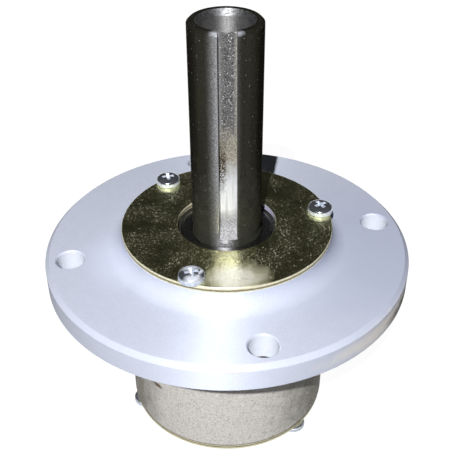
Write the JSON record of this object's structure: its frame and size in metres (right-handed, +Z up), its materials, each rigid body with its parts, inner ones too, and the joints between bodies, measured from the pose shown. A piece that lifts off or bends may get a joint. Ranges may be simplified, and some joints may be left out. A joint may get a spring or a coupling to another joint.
{
  "type": "mower deck spindle",
  "caption": "Flanged aluminium spindle hub with sealed ball bearings, plated retainer plates and a hollow keyed shaft that turns in it; carries a mower blade below and a drive pulley above.",
  "frame": {"origin": "on the shaft's axis, in the plane of the flange's underside that bolts to the deck", "axes": "+Z up along the shaft towards the pulley end, +X through a deck bolt hole"},
  "size_m": [0.136, 0.136, 0.1677],
  "materials": {
    "cast_aluminium": "satin turned flange, grainy as-cast hub",
    "yellow_zinc_sheet": "yellow zinc plating, glossy, scratched",
    "bright_zinc_screw": "bright zinc plating",
    "shaft_steel": "ground steel, oily",
    "bearing_steel": "ground steel",
    "seal_rubber": "moulded rubber",
    "cage_plastic": "moulded plastic"
  },
  "bodies": {
    "housing": {"spindle_housing": "cast_aluminium", "upper_retainer_plate": "yellow_zinc_sheet", "lower_retainer_plate": "yellow_zinc_sheet", "upper_retainer_screws": "bright_zinc_screw", "lower_retainer_screws": "bright_zinc_screw", "upper_bearing_outer_ring": "bearing_steel", "upper_bearing_top_seal": "seal_rubber", "upper_bearing_bottom_seal": "seal_rubber", "lower_bearing_outer_ring": "bearing_steel", "lower_bearing_top_seal": "seal_rubber", "lower_bearing_bottom_seal": "seal_rubber"},
    "rotor": {"spindle_shaft": "shaft_steel", "upper_bearing_inner_ring": "bearing_steel", "lower_bearing_inner_ring": "bearing_steel", "bearing_spacer": "bearing_steel"},
    "upper_cage": {"upper_bearing_cage": "cage_plastic", "upper_bearing_balls": "bearing_steel"},
    "lower_cage": {"lower_bearing_cage": "cage_plastic", "lower_bearing_balls": "bearing_steel"}
  },
  "joints": [
    {"name": "spindle_spin", "type": "hinge", "parent": "housing", "child": "rotor", "pos_m": [0, 0, 0], "axis": [0, 0, 1], "continuous": true},
    {"name": "upper_cage_spin", "type": "hinge", "parent": "housing", "child": "upper_cage", "pos_m": [0, 0, 0.0086], "axis": [0, 0, 1], "continuous": true},
    {"name": "lower_cage_spin", "type": "hinge", "parent": "housing", "child": "lower_cage", "pos_m": [0, 0, -0.0535], "axis": [0, 0, 1], "continuous": true}
  ],
  "couplings": [
    {"joint": "upper_cage_spin", "follows": "spindle_spin", "ratio": 0.3974},
    {"joint": "lower_cage_spin", "follows": "spindle_spin", "ratio": 0.3974}
  ]
}
